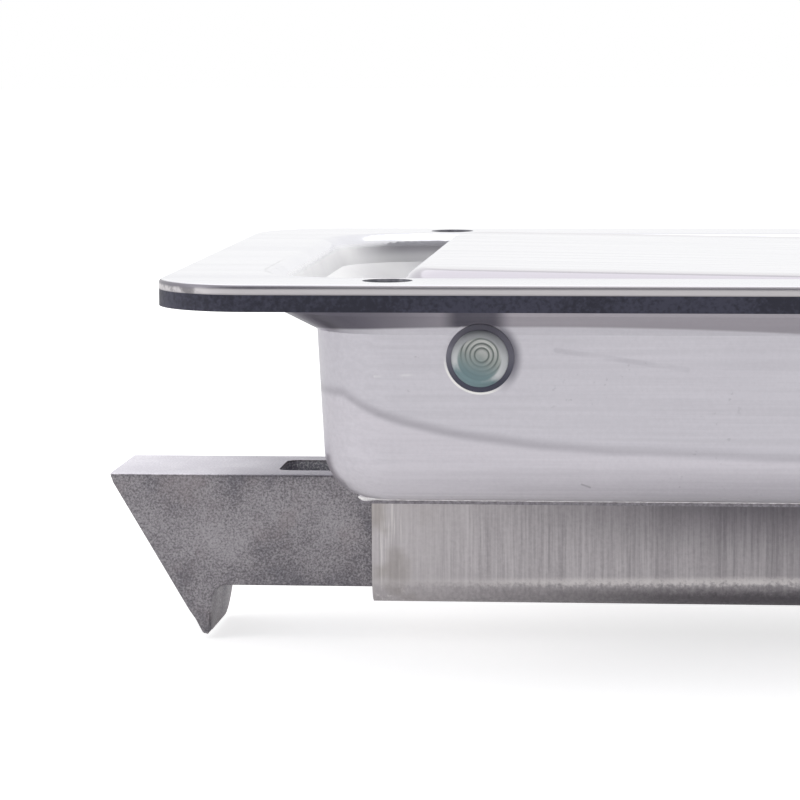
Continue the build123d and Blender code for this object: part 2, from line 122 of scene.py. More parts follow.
def hex_to_linear(code: str) -> tuple[float, float, float, float]:
    """Turns an sRGB hex colour into linear RGB with an alpha of 1.

    Args:
        code: six hex digits after a hash sign.

    Returns:
        Linear red, green and blue, and 1.
    """
    channels = [int(code[i : i + 2], 16) / 255 for i in (1, 3, 5)]
    linear = [c / 12.92 if c <= 0.04045 else ((c + 0.055) / 1.055) ** 2.4 for c in channels]
    return (linear[0], linear[1], linear[2], 1.0)


def full_turn(steps: int) -> np.ndarray:
    """Even angles in radians once round, without the one that closes the turn."""
    return np.linspace(0.0, 2 * np.pi, steps, endpoint=False)


def show(name: str, data: bpy.types.ID) -> bpy.types.Object:
    """Makes an object and links it to the scene.

    Args:
        name: the object's name.
        data: its mesh, lamp or camera.

    Returns:
        The object.
    """
    made = bpy.data.objects.new(name, data)
    bpy.context.scene.collection.objects.link(made)
    return made


class Grain(Enum):
    """The way that rolling or drawing lines run, as a stretch of the pattern's axes."""

    LENGTHWISE = (0.02, 1.0, 1.0)
    UPRIGHT = (1.0, 1.0, 0.03)
    NONE = (1.0, 1.0, 1.0)


@dataclass(frozen=True)
class Kind:
    """How a kind of node is used here.

    Attributes:
        node: Blender's name of the kind, without its prefix.
        inputs: the inputs that values go to, in order.
        output: the output that is read.
        settings: property names and values.
    """

    node: str
    inputs: tuple[int | str, ...] = (0, 1, 2)
    output: int | str = 0
    settings: tuple[tuple[str, str], ...] = ()


# A name that isn't listed is an operation of a Math node.
KINDS = {
    "Ramp": Kind("MapRange", (0, 1, 2, 3, 4), 0, (("interpolation_type", "SMOOTHSTEP"),)),
    "Blend": Kind("Mix", (0, 6, 7), 2, (("data_type", "RGBA"),)),
    "Stretch": Kind("VectorMath", settings=(("operation", "MULTIPLY"),)),
    "Dot": Kind("VectorMath", (0, 1), "Value", (("operation", "DOT_PRODUCT"),)),
    "Mapping": Kind("Mapping", ("Vector", "Scale")),
    "Noise": Kind("TexNoise", ("Vector", "Scale", "Detail", "Roughness"), "Fac"),
    "Cells": Kind("TexVoronoi", ("Vector", "Scale"), "Distance"),
    "Place": Kind("TexCoord", (), "Object"),
    "Facing": Kind("NewGeometry", (), "Normal"),
    "Component": Kind("SeparateXYZ", (0,)),
    "Rays": Kind("LightPath", ()),
    "Relief": Kind("Bump", ("Height", "Distance", "Normal")),
    "Surface": Kind(
        "BsdfPrincipled", ("Metallic", "Base Color", "Roughness", "Normal", "Specular IOR Level")
    ),
    "Paper": Kind("BsdfDiffuse", ("Color",)),
    "Glow": Kind("Emission", ("Color", "Strength")),
    "Background": Kind("Background", ("Color", "Strength")),
    "MixShader": Kind("MixShader"),
    "AddShader": Kind("AddShader", (0, 1)),
    "Material": Kind("OutputMaterial", ("Surface",)),
    "World": Kind("OutputWorld", ("Surface",)),
}


@dataclass
class Tree:
    """Node tree of one finish or of the surroundings, empty at first.

    Attributes:
        nodes: Blender's own node tree.
    """

    nodes: bpy.types.NodeTree

    def __post_init__(self) -> None:
        """Clears the nodes that Blender starts with."""
        self.nodes.nodes.clear()

    def add(
        self, kind: str, *values: Socket | str | float | tuple, out: int | str | None = None
    ) -> Socket | None:
        """Adds one node with its settings and links.

        Args:
            kind: a name from KINDS, or a Math operation.
            values: what its inputs get, in order. A socket is linked and a hex colour is made
                linear. A tuple that starts with a socket stands for a Ramp of those values: the
                socket, where the soft step starts and ends, and its low and high if not 0 and 1.
            out: the output to read, where it isn't the kind's usual one.

        Returns:
            The output's socket, or None for a node that ends the tree.
        """
        use = KINDS.get(kind) or Kind("Math", settings=(("operation", kind),))
        node = self.nodes.nodes.new("ShaderNode" + use.node)
        for name, setting in use.settings:
            setattr(node, name, setting)
        for name, value in zip(use.inputs, values):
            if isinstance(value, tuple) and isinstance(value[0], Socket):
                value = self.add("Ramp", *value)
            if isinstance(value, Socket):
                self.nodes.links.new(value, node.inputs[name])
            else:
                value = hex_to_linear(value) if isinstance(value, str) else value
                node.inputs[name].default_value = value
        return node.outputs[use.output if out is None else out] if node.outputs else None

    @cached_property
    def place(self) -> Socket:
        """Object coordinates."""
        return self.add("Place")

    @cached_property
    def facing(self) -> Socket:
        """The surface's own normal."""
        return self.add("Facing")

    def at(self, name: str) -> Socket:
        """One of the place's coordinates in millimetres."""
        return self.add("DIVIDE", self.add("Component", self.place, out=name), MM)

    def rays(self) -> tuple[Socket, ...]:
        """Masks of the rays from the camera, off gloss and through glass."""
        kinds = ("Camera", "Glossy", "Transmission")
        return tuple(self.add("Rays", out=f"Is {kind} Ray") for kind in kinds)

    def pattern(
        self, size_mm: float, detail: float = 2.0, rough: float = 0.5, grain: Grain = Grain.NONE
    ) -> Socket:
        """Noise of a real size, stretched along a grain.

        Args:
            size_mm: width of its blobs in millimetres.
            detail: number of finer layers.
            rough: weight of the finer layers.
            grain: the way that it is stretched.

        Returns:
            The noise's socket, about 0.5 on average.
        """
        stretched = self.add("Mapping", self.place, grain.value)
        return self.add("Noise", stretched, BLOB_WIDTH / (size_mm * MM), detail, rough)

    def product(self, *masks: Socket | float | tuple) -> Socket:
        """Product of several masks, each as add takes it."""
        return reduce(lambda first, second: self.add("MULTIPLY", first, second), masks)

    def over(
        self, tint: Socket | str, colour: Socket | str, *masks: Socket | float | tuple
    ) -> Socket:
        """Lays a colour over a tint by the product of masks, each as add takes it."""
        return self.add("Blend", self.product(*masks), tint, colour)

    def band(self, value: Socket, start: float, end: float, soft: float) -> Socket:
        """Mask that is 1 between two values, with soft ends."""
        return self.product((value, start - soft, start), (value, end, end + soft, 1.0, 0.0))

    def square_sum(self, first: Socket, second: Socket) -> Socket:
        """Sum of two squares."""
        return self.add("MULTIPLY_ADD", first, first, self.add("MULTIPLY", second, second))

    def from_point(self, x_mm: float, z_mm: float) -> tuple[Socket, Socket]:
        """Offsets in X and Z from a point, in millimetres."""
        return self.add("SUBTRACT", self.at("X"), x_mm), self.add("SUBTRACT", self.at("Z"), z_mm)

    def round_from(self, x_mm: float, z_mm: float) -> tuple[Socket, Socket, Socket]:
        """Offsets in X and Z from an axis along Y, and the distance from it, in millimetres."""
        dx, dz = self.from_point(x_mm, z_mm)
        return dx, dz, self.add("SQRT", self.square_sum(dx, dz))

    def streak(
        self, start: tuple[float, float], end: tuple[float, float], half_width: float
    ) -> Socket:
        """Mask of a straight mark on an upright face, by the distance to a run in X and Z.

        Args:
            start: X and Z of one end in millimetres.
            end: X and Z of the other end.
            half_width: half the mark's width in millimetres.

        Returns:
            A socket that is 1 on the mark and falls softly to 0 beside it.
        """
        run_x, run_z = end[0] - start[0], end[1] - start[1]
        square = run_x**2 + run_z**2
        dx, dz = self.from_point(*start)
        along = self.add("MULTIPLY", dx, run_x / square)
        along = self.add("MULTIPLY_ADD", dz, run_z / square, along)
        share = self.add("MINIMUM", self.add("MAXIMUM", along, 0.0), 1.0)
        off_x = self.add("MULTIPLY_ADD", share, -run_x, dx)
        off_z = self.add("MULTIPLY_ADD", share, -run_z, dz)
        return self.add("Ramp", self.square_sum(off_x, off_z), 0.0, half_width**2, 1.0, 0.0)


@dataclass(frozen=True)
class Finish:
    """A surface finish that becomes one procedural material.

    Attributes:
        name: the material's plain name.
    """

    name: str

    def shade(self, tree: Tree) -> Socket:
        """Adds the finish's nodes and gives back the shader's socket.

        Args:
            tree: the tree that gets the nodes.

        Returns:
            The shader's socket.
        """
        raise NotImplementedError

    def material(self) -> bpy.types.Material:
        """Makes the material once and gives the same one back after that.

        Returns:
            The material.
        """
        made = bpy.data.materials.get(self.name)
        if made is None:
            made = bpy.data.materials.new(self.name)
            made.use_nodes = True
            tree = Tree(made.node_tree)
            tree.add("Material", self.shade(tree))
        return made


@dataclass(frozen=True)
class SheetMetal(Finish):
    """Rolled or drawn sheet: fine parallel lines, slow unevenness of the gloss and a faint wave.

    Attributes:
        dark: reflection colour in the lines.
        light: reflection colour between them.
        dull: roughness of the dullest patches.
        bright: roughness of the brightest patches.
        grain: the way that the lines run.
        line_mm: distance from one line to the next.
        line_depth_mm: depth of the lines.
        wave_depth_mm: depth of the sheet's slow unevenness.
        roll_shade: painted dark reflection where the sheet rolls over to its sides, empty for none.
        roll_y: distances from the middle at which that colour starts and is full.
    """

    dark: str = "#9C9CA0"
    light: str = "#B4B4B8"
    dull: float = 0.36
    bright: float = 0.26
    grain: Grain = Grain.LENGTHWISE
    line_mm: float = 0.35
    line_depth_mm: float = 0.003
    wave_depth_mm: float = 0.02
    roll_shade: str = ""
    roll_y: tuple[float, float] = (29.5, 37.0)

    def shade(self, tree: Tree) -> Socket:
        """Lines are noise stretched along the grain; they drive colour, roughness and relief.

        Args:
            tree: the tree that gets the nodes.

        Returns:
            The shader's socket.
        """
        lines = tree.pattern(self.line_mm, 3.0, 0.6, self.grain)
        tint = tree.add("Blend", (lines, 0.35, 0.65), self.dark, self.light)
        # Painted dark reflection where the sheet rolls over towards its sides.
        if self.roll_shade:
            tint = tree.over(tint, self.roll_shade, (tree.add("ABSOLUTE", tree.at("Y")), *self.roll_y))
        slow = tree.add("Relief", tree.pattern(14.0, 1.0), self.wave_depth_mm * MM)
        fine = tree.add("Relief", lines, self.line_depth_mm * MM, slow)
        return tree.add("Surface", 1.0, tint, (lines, 0.3, 0.7, self.dull, self.bright), fine)


@dataclass(frozen=True)
class PressedTray(Finish):
    """Pressed stainless tray: polished face and recess, satin outer walls with a draw line.

    The draw line is where the sheet left the press die. It runs nearly level along the wall and
    climbs towards the bolt's end. Its darker colour is painted shade, and below it the wall is
    painted a little brighter, as a reflection.

    Attributes:
        wall: colour of the satin wall.
        wall_lit_below: colour of the wall below the draw line, with painted reflection.
        line: painted shade along the draw line.
        ledge_shade_left: colour of the painted shade band under the flange at the bolt's end.
        ledge_shade_right: colour of that painted shade beyond the pin.
        edge_dark_reflection: painted dark reflection on the flange's rounded top edge.
        edge_light: colour of its sheared side.
        face: colour of the polished face.
        line_z: height of the draw line over the middle, without its climb.
        line_slope: its fall along X.
        line_top: the height that it doesn't pass.
        climb_x: X at which it has climbed by climb_height.
        climb_height: how far it has climbed there.
        climb_fade: the length along X in which the climb fades to about a third.
        hole: X and Y of a screw hole's middle.
        hole_square: squares of the distances from there between which a hole's mask ends.
    """

    wall: str = "#D3D0D7"
    wall_lit_below: str = "#D8D4DB"
    line: str = "#A5A1A9"
    ledge_shade_left: str = "#65626C"
    ledge_shade_right: str = "#A8A3AA"
    edge_dark_reflection: str = "#87848B"
    edge_light: str = "#D2CED0"
    face: str = "#EDEDF2"
    line_z: float = -18.75
    line_slope: float = -0.034
    line_top: float = -11.3
    climb_x: float = -48.0
    climb_height: float = 5.6
    climb_fade: float = 9.5
    hole: tuple[float, float] = (42.0, 46.5)
    hole_square: tuple[float, float] = (9.2, 9.6)

    def draw_line_level(self, tree: Tree) -> Socket:
        """Height of the draw line in mm: a gently falling line plus a rise that fades with X.

        Args:
            tree: the tree that gets the nodes.

        Returns:
            The height's socket.
        """
        x_mm = tree.at("X")
        power = tree.add(
            "MULTIPLY_ADD", x_mm, -1 / self.climb_fade, self.climb_x / self.climb_fade
        )
        level = tree.add("MULTIPLY_ADD", x_mm, self.line_slope, self.line_z)
        level = tree.add("MULTIPLY_ADD", tree.add("EXPONENT", power), self.climb_height, level)
        return tree.add("MINIMUM", level, self.line_top)

    def pin_glint_and_shadow(self, tree: Tree, tint: Socket) -> Socket:
        """Painted highlight on the rim under the pin's head, and painted shadow of the head beside
        it.

        Args:
            tree: the tree that gets the nodes.
            tint: the colour that it is laid over.

        Returns:
            The colour's socket.
        """
        dx, dz, far = tree.round_from(*PIN_AXIS)
        low_left = tree.add("MULTIPLY_ADD", dx, -0.45, tree.add("MULTIPLY", dz, -0.9))
        # Painted highlight along the lower left of the rim under the pin's head.
        tint = tree.over(tint, "#F4F2F0", tree.band(far, 4.22, 4.38, 0.1), (low_left, 1.5, 3.6))
        right = tree.add("MULTIPLY_ADD", dx, 0.95, tree.add("MULTIPLY", dz, 0.3))
        # Painted shadow of the pin's head on the wall to its right.
        return tree.over(tint, "#5C5A66", (far, 4.1, 5.4, 0.75, 0.0), (right, 0.5, 3.8))

    def marks(self, tree: Tree, tint: Socket) -> Socket:
        """Handling marks: a pale scratch, a dark rub line, a nick and scattered spots.

        Args:
            tree: the tree that gets the nodes.
            tint: the colour that it is laid over.

        Returns:
            The colour's socket.
        """
        wander = tree.pattern(2.2, 2.0)
        scratch = tree.streak((-44.3, -8.9), (-37.0, -8.5), 0.22)
        tint = tree.over(tint, "#E4E2E6", scratch, (wander, 0.4, 0.6))
        rub = tree.streak((-22.4, -5.6), (-6.7, -7.9), 0.42)
        tint = tree.over(tint, "#9C98A2", rub, (wander, 0.2, 0.8, 0.02, 0.3))
        nick = tree.streak((-19.4, -22.0), (-18.4, -22.4), 0.16)
        tint = tree.over(tint, "#77747C", nick, 0.35)
        spots, patches = tree.pattern(0.5, 2.0, 0.6), tree.pattern(7.0, 1.0)
        return tree.over(tint, "#86838C", (spots, 0.66, 0.72), (patches, 0.55, 0.65), 0.22)

    def ledge_shade(self, tree: Tree, tint: Socket) -> Socket:
        """Painted shade band under the flange: darkest at the bolt's end and above the pin.

        Args:
            tree: the tree that gets the nodes.
            tint: the colour that it is laid over.

        Returns:
            The colour's socket.
        """
        x_mm = tree.at("X")
        shade_wobble = tree.pattern(5.0, 2.0, 0.5, Grain.LENGTHWISE)
        side = tree.add("MULTIPLY_ADD", shade_wobble, 8.0, x_mm)
        # Painted shade under the flange, darkest at the bolt's end.
        dull = tree.add("Blend", (side, -46.0, -22.0), self.ledge_shade_left, self.ledge_shade_right)
        # Painted shade above the pin's head.
        dull = tree.over(dull, "#43414C", tree.band(x_mm, -34.0, -30.0, 2.6), 0.85)
        off = tree.add("ADD", x_mm, 24.0)
        top = tree.add("MULTIPLY_ADD", tree.add("MULTIPLY", off, off), -0.0008, -2.75)
        return tree.over(tint, dull, (tree.add("SUBTRACT", tree.at("Z"), top), -0.2, 0.15))

    def wall_shader(self, tree: Tree) -> Socket:
        """Satin wall: grain lines, soft draw line, marks, and painted light and shade: along the
        draw line, on the lower bend, round the pin's head and under the flange.

        Args:
            tree: the tree that gets the nodes.

        Returns:
            The shader's socket.
        """
        x_mm, z_mm = tree.at("X"), tree.at("Z")
        above = tree.add("SUBTRACT", z_mm, self.draw_line_level(tree))
        above = tree.add("ADD", above, tree.add("MULTIPLY_ADD", tree.pattern(9.0, 1.0), 1.2, -0.6))
        # Painted reflection: the wall is a little brighter below the draw line.
        tint = tree.add("Blend", (above, -0.6, 0.5, 1.0, 0.0), self.wall, self.wall_lit_below)
        tint = tree.over(tint, "#A9A6AE", (x_mm, -53.0, -43.0, 0.36, 0.0))
        rise, fall = (above, -0.5, 0.35), (above, 0.35, 1.5, 1.0, 0.0)
        # Painted shade along the draw line.
        tint = tree.over(tint, self.line, rise, fall, (x_mm, -40.0, 6.0, 0.62, 0.36))
        # Painted light on the wall's lower bend, where it faces the floor.
        foot = (z_mm, -23.6, -19.0, 1.0, 0.0)
        tint = tree.over(tint, "#EFEBF1", foot, (x_mm, -46.0, 4.0, 0.75, 0.4))
        tint = self.ledge_shade(tree, self.pin_glint_and_shadow(tree, self.marks(tree, tint)))
        lines = tree.pattern(0.3, 3.0, 0.6, Grain.LENGTHWISE)
        patches = tree.pattern(6.0, 3.0, 0.55)
        fine = tree.add("MULTIPLY_ADD", tree.pattern(0.25, 2.0, 0.7), 0.5, lines)
        fine = tree.add("MULTIPLY_ADD", patches, 0.7, fine)
        tint = tree.over(tint, "#7F7C84", (fine, 0.8, 1.4, 0.0, 0.14))
        wave = tree.add("Relief", tree.pattern(22.0, 1.0), 0.04 * MM)
        relief = tree.add("Relief", fine, 0.003 * MM, wave)
        return tree.add("Surface", 1.0, tint, (patches, 0.3, 0.7, 0.36, 0.28), relief)

    def edge_shader(self, tree: Tree) -> Socket:
        """Flange edge: pale sheared side, torn at the bolt's end, under a rounded corner with
        painted dark reflection.

        Args:
            tree: the tree that gets the nodes.

        Returns:
            The shader's socket.
        """
        tear = tree.pattern(0.9, 3.0, 0.6, Grain.LENGTHWISE)
        left = tree.add("Ramp", tree.at("X"), -62.0, -38.0, 1.0, 0.3)
        ragged = tree.add("MULTIPLY_ADD", tear, 0.3, tree.add("SUBTRACT", tree.at("Z"), 0.15))
        tint = tree.over(self.edge_light, "#8C898C", (tear, 0.5, 0.7), left)
        tint = tree.over(tint, "#6E6B74", (ragged, 2.0, 2.2, 0.45, 0.0))
        # Painted dark reflection on the rounded top corner.
        tint = tree.over(tint, self.edge_dark_reflection, (ragged, 2.5, 2.85), (left, 0.3, 1.0, 0.55, 1.0))
        relief = tree.add("Relief", tree.pattern(0.3, 2.0), 0.01 * MM)
        return tree.add("Surface", 1.0, tint, 0.38, relief)

    def face_shader(self, tree: Tree) -> Socket:
        """Polished face: nearly even, with faint wiping smears in its gloss.

        Args:
            tree: the tree that gets the nodes.

        Returns:
            The shader's socket.
        """
        smear = tree.pattern(6.0, 3.0, 0.6, Grain.LENGTHWISE)
        tint = tree.add("Blend", (smear, 0.4, 0.8), self.face, "#E2E2E8")
        relief = tree.add("Relief", tree.pattern(26.0, 1.0), 0.02 * MM)
        return tree.add("Surface", 1.0, tint, (smear, 0.3, 0.7, 0.12, 0.2), relief)

    def recess_shader(self, tree: Tree) -> Socket:
        """Inside of the recess: the same polish, blurred by the deep draw.

        Painted dark reflection lies along the upper part of its wall.

        Args:
            tree: the tree that gets the nodes.

        Returns:
            The shader's socket.
        """
        smear = tree.pattern(4.0, 3.0, 0.6, Grain.UPRIGHT)
        x_mm = tree.at("X")
        rim = (tree.at("Z"), -0.2, 1.4, 0.15, 1.0)
        tint = tree.add("Blend", (smear, 0.3, 0.8), "#FFFFFF", "#F8F7F9")
        # Painted dark reflection along the upper part of the recess wall.
        tint = tree.over(tint, "#9A97A0", rim, (x_mm, -57.0, -48.0), 0.8)
        gloss = tree.add("Ramp", smear, 0.3, 0.7, 0.44, 0.52)
        relief = tree.add("Relief", tree.pattern(18.0, 1.0), 0.04 * MM)
        left, right = (tree.add("Surface", metal, tint, gloss, relief) for metal in (1.0, 0.25))
        return tree.add("MixShader", (x_mm, -57.0, -50.0), left, right)

    def hole_shader(self, tree: Tree) -> Socket:
        """Punched wall of a screw hole: torn and dull, with painted shade that makes it darker
        lower down.

        Args:
            tree: the tree that gets the nodes.

        Returns:
            The shader's socket.
        """
        tear = tree.pattern(0.5, 3.0, 0.6)
        torn = tree.add("Blend", (tear, 0.4, 0.6), "#8C8C95", "#B5B5BD")
        # Painted shade low in the hole.
        tint = tree.add("Blend", (tree.at("Z"), 2.5, 3.1), "#3F3F49", torn)
        return tree.add("Surface", 0.0, tint, 0.5, tree.add("Relief", tear, 0.02 * MM))

    def screw_hole(self, tree: Tree, upright: Socket) -> Socket:
        """Mask of the four screw holes' walls, by the square of the distance to their middles.

        Args:
            tree: the tree that gets the nodes.
            upright: mask of the upright faces.

        Returns:
            The mask's socket.
        """
        off = (
            tree.add("SUBTRACT", tree.add("ABSOLUTE", tree.at(name)), middle)
            for name, middle in zip("XY", self.hole)
        )
        return tree.product((tree.square_sum(*off), *self.hole_square, 1.0, 0.0), upright)

    def shade(self, tree: Tree) -> Socket:
        """Wall where the sheet faces away from the tray's middle, edge at the rim, else face.

        Args:
            tree: the tree that gets the nodes.

        Returns:
            The shader's socket.
        """
        flat = tree.add("Stretch", tree.place, (1.0, 1.0, 0.0))
        turned_out = tree.add("Ramp", tree.add("Dot", tree.facing, flat), 1.0 * MM, 3.0 * MM)
        up = tree.add("Component", tree.facing, out="Z")
        outside = tree.add("MAXIMUM", turned_out, (up, -0.5, -0.3, 1.0, 0.0))
        height = tree.add("Component", tree.place, out="Z")
        upright = tree.add("Ramp", up, 0.75, 0.95, 1.0, 0.0)
        edge = tree.product((height, 1.9 * MM, 1.95 * MM), upright, turned_out)
        wall = tree.product(outside, (height, 1.85 * MM, 1.95 * MM, 1.0, 0.0))
        deep = (height, 1.2 * MM, 2.4 * MM, 1.0, 0.0)
        shader = tree.add("MixShader", deep, self.face_shader(tree), self.recess_shader(tree))
        shader = tree.add("MixShader", wall, shader, self.wall_shader(tree))
        shader = tree.add("MixShader", edge, shader, self.edge_shader(tree))
        return tree.add("MixShader", self.screw_hole(tree, upright), shader, self.hole_shader(tree))


@dataclass(frozen=True)
class CastMetal(Finish):
    """Tumbled zinc casting: matt, with a sandy speckle, small pits and slow cloudy patches.

    Attributes:
        dark: colour of the pits.
        light: colour of the rubbed grains.
        warm: colour of the brownish clouds.
        cool: colour of the bluish clouds.
        grain_mm: size of the speckle.
        rough: mean roughness.
        pocket_x: ends of the pocket in the bolt, where light is painted in.
        pocket_half_y: half the pocket's width.
        pocket_top: heights between which its painted light ends.
        pocket_soft: width of that painted light's soft border.
    """

    dark: str = "#7F7B80"
    light: str = "#B6B2B6"
    warm: str = "#9A9092"
    cool: str = "#73747F"
    grain_mm: float = 0.14
    rough: float = 0.55
    pocket_x: tuple[float, float] = (-60.75, -33.8)
    pocket_half_y: float = 5.33
    pocket_top: tuple[float, float] = (-25.3, -25.0)
    pocket_soft: float = 0.02

    def shade(self, tree: Tree) -> Socket:
        """Speckle, clouds and pits drive colour, roughness and relief; upward faces get painted
        light.

        Args:
            tree: the tree that gets the nodes.

        Returns:
            The shader's socket.
        """
        speckle = tree.pattern(self.grain_mm, 3.0, 0.75)
        cloud = tree.pattern(4.5, 4.0, 0.6)
        blend = tree.add("ADD", tree.add("MULTIPLY_ADD", cloud, 0.45, -0.22), speckle)
        share = tree.add("Ramp", blend, 0.28, 0.74)
        side = tree.add("Blend", share, self.dark, self.light)
        side = tree.over(side, self.warm, (tree.pattern(2.8, 3.0, 0.55), 0.5, 0.7, 0.0, 0.35))
        side = tree.over(side, self.cool, (cloud, 0.3, 0.5, 0.4, 0.0))
        # Painted light on the upward faces.
        level = tree.add("Blend", share, "#D9D6DE", "#F0EDF4")
        tint = tree.over(side, level, (tree.add("Component", tree.facing, out="Z"), 0.6, 0.9))
        # Painted light in the pocket, speckled like grit.
        tint = tree.over(
            tint,
            tree.add("Blend", (speckle, 0.48, 0.62), "#B9B8C0", "#FFFFFF"),
            (tree.at("Z"), *self.pocket_top, 1.0, 0.0),
            tree.band(tree.at("Y"), -self.pocket_half_y, self.pocket_half_y, self.pocket_soft),
            tree.band(tree.at("X"), *self.pocket_x, self.pocket_soft),
        )
        gloss = tree.add("Ramp", share, 0.0, 1.0, self.rough + 0.1, self.rough - 0.1)
        pits = tree.add("Cells", tree.place, BLOB_WIDTH / (self.grain_mm * MM))
        relief = tree.add("Relief", blend, 0.02 * MM, tree.add("Relief", pits, 0.01 * MM))
        return tree.add("Surface", 1.0, tint, gloss, relief)


@dataclass(frozen=True)
class DrawnChannel(Finish):
    """Folded channel: drawn upright lines, painted shade below the weld, and a painted highlight
    and painted shade along its lower bend.

    Attributes:
        dark: colour in the lines.
        light: colour between them.
        bend_mm: height at which the lower bend starts.
        weld_mm: height of the feet's underside.
        edge_y: distances from the middle between which a foot's sheared edge starts.
        edge_z: heights between which it starts.
    """

    dark: str = "#B5B0B3"
    light: str = "#CDC8CA"
    bend_mm: float = -38.3
    weld_mm: float = -25.9
    edge_y: tuple[float, float] = (28.6, 28.75)
    edge_z: tuple[float, float] = (-26.2, -26.0)

    def body_tint(self, tree: Tree, blend: Socket, grit: Socket) -> Socket:
        """Streaks, brownish end, painted light and shade along X, painted shade below the weld, and
        a painted highlight and painted shade on the bend.

        Args:
            tree: the tree that gets the nodes.
            blend: the drawn lines and the grit together.
            grit: the grit alone.

        Returns:
            The colour's socket.
        """
        x_mm, z_mm, bend = tree.at("X"), tree.at("Z"), self.bend_mm
        tint = tree.add("Blend", (blend, 0.2, 0.8), self.dark, self.light)
        # Painted light towards the bolt's end.
        tint = tree.over(tint, "#DBD6D7", (x_mm, -46.0, -30.0, 0.5, 0.0))
        # Painted shade towards the other end.
        tint = tree.over(tint, "#67636A", (x_mm, -20.0, 4.0, 0.0, 0.14))
        scratch = (tree.pattern(0.3, 3.0, 0.7, Grain.UPRIGHT), 0.55, 0.66)
        tint = tree.over(tint, "#EBE7E6", scratch, (x_mm, -45.5, -41.5, 0.8, 0.0))
        brown = (tree.pattern(2.5, 2.0), 0.4, 0.6)
        tint = tree.over(tint, "#8F8578", (x_mm, -47.0, -38.0, 0.36, 0.0), brown)
        # Painted shade below the feet, under the tray's overhang.
        overhang_shade = (z_mm, bend + 1.0, self.weld_mm, 0.0, 0.95)
        tint = tree.over(tint, "#67636A", overhang_shade, (x_mm, -44.0, 2.0, 0.0, 1.0))
        ragged = tree.add("MULTIPLY_ADD", grit, 1.6, z_mm)
        slope = tree.add("MULTIPLY_ADD", x_mm, -0.014, ragged)
        # Painted highlight where the lower bend starts.
        bend_highlight = tree.band(slope, bend + 1.0, bend + 1.15, 0.75)
        ends, gaps = (x_mm, -44.0, -20.0, 0.25, 0.9), (grit, 0.3, 0.6, 0.5, 1.0)
        tint = tree.over(tint, "#E9E4E3", bend_highlight, ends, gaps)
        # Painted shade on the lower bend, where it faces the floor.
        low = (ragged, bend - 1.2, bend + 0.9, 1.0, 0.0)
        return tree.over(tint, "#625E64", low, (x_mm, -44.0, 4.0, 0.0, 0.8))

    def shade(self, tree: Tree) -> Socket:
        """Body of the channel, and the bright sheared edge of its feet.

        Args:
            tree: the tree that gets the nodes.

        Returns:
            The shader's socket.
        """
        fine = tree.pattern(0.22, 3.0, 0.7, Grain.UPRIGHT)
        broad = tree.pattern(1.2, 3.0, 0.6, Grain.UPRIGHT)
        grit = tree.pattern(0.3, 3.0, 0.7)
        blend = tree.add("ADD", tree.add("MULTIPLY_ADD", broad, 0.45, -0.22), fine)
        blend = tree.add("ADD", blend, tree.add("MULTIPLY_ADD", grit, 0.5, -0.25))
        edge = tree.add("Blend", (grit, 0.4, 0.6), "#837F84", "#98949A")
        side = (tree.add("ABSOLUTE", tree.at("Y")), *self.edge_y)
        tint = self.body_tint(tree, blend, grit)
        tint = tree.over(tint, edge, side, (tree.at("Z"), *self.edge_z))
        relief = tree.add("Relief", blend, 0.015 * MM)
        return tree.add("Surface", 1.0, tint, (blend, 0.2, 0.8, 0.52, 0.38), relief)


@dataclass(frozen=True)
class TurnedPlate(Finish):
    """Turned steel under zinc plate with a green-blue tint, and painted shade along its lower side.

    Attributes:
        dome_highlight: painted highlight on the dome.
        green: colour of the tinted plate.
        lower_shade: painted shade on the lower side.
        collar_shade: painted shade at the bottom of the collar round the dome.
        dome_mm: distances from the axis between which the bright dome starts.
        collar_mm: distances from the axis between which the collar starts.
    """

    dome_highlight: str = "#F6F9FA"
    green: str = "#CAD0CB"
    lower_shade: str = "#8BA7AC"
    collar_shade: str = "#4C4D60"
    dome_mm: tuple[float, float] = (2.45, 2.75)
    collar_mm: tuple[float, float] = (3.38, 3.5)

    def shade(self, tree: Tree) -> Socket:
        """Tint and painted light and shade follow height on the head; the collar has painted shade;
        turning marks give the relief.

        Args:
            tree: the tree that gets the nodes.

        Returns:
            The shader's socket.
        """
        dx, dz, far = tree.round_from(*PIN_AXIS)
        cloud = tree.add("MULTIPLY_ADD", tree.pattern(0.9, 3.0, 0.6), 1.6, -0.8)
        lean = tree.add("ADD", tree.add("MULTIPLY_ADD", dx, 0.35, dz), cloud)
        # Painted shade on the lower side.
        tint = tree.add("Blend", (lean, -2.4, 1.4), self.lower_shade, self.green)
        # Painted highlight on the upper side.
        tint = tree.over(tint, "#F7F8F4", (lean, 0.0, 2.0, 0.0, 0.85))
        ring_far = tree.round_from(PIN_AXIS[0] + RING_CENTRE[0], PIN_AXIS[1] + RING_CENTRE[1])[2]
        turns = tree.add(
            "MULTIPLY_ADD", ring_far, 2 * np.pi / RING_PITCH, -2 * np.pi * RING_FIRST / RING_PITCH
        )
        valley, shown = (tree.add("COSINE", turns), -0.1, 0.9), (lean, -1.6, 1.2, 0.1, 0.8)
        inner = (ring_far, RING_FIRST - 0.28, RING_FIRST - 0.2)
        # Tool rings with painted shade in their valleys, shown mostly on the upper side.
        tint = tree.over(tint, "#5E6D68", valley, inner, shown)
        # Painted highlight round the dome, except at its lower side.
        tint = tree.over(tint, self.dome_highlight, (far, *self.dome_mm), (lean, -2.6, -1.2))
        # Painted shade in the collar, lighter towards its top.
        collar = tree.add("Blend", (dz, -3.0, 3.4), self.collar_shade, "#A3A0AE")
        tint = tree.over(tint, collar, (far, *self.collar_mm))
        relief = tree.add("Relief", tree.pattern(0.2, 2.0), 0.006 * MM)
        return tree.add("Surface", 0.08, tint, 0.26, relief)


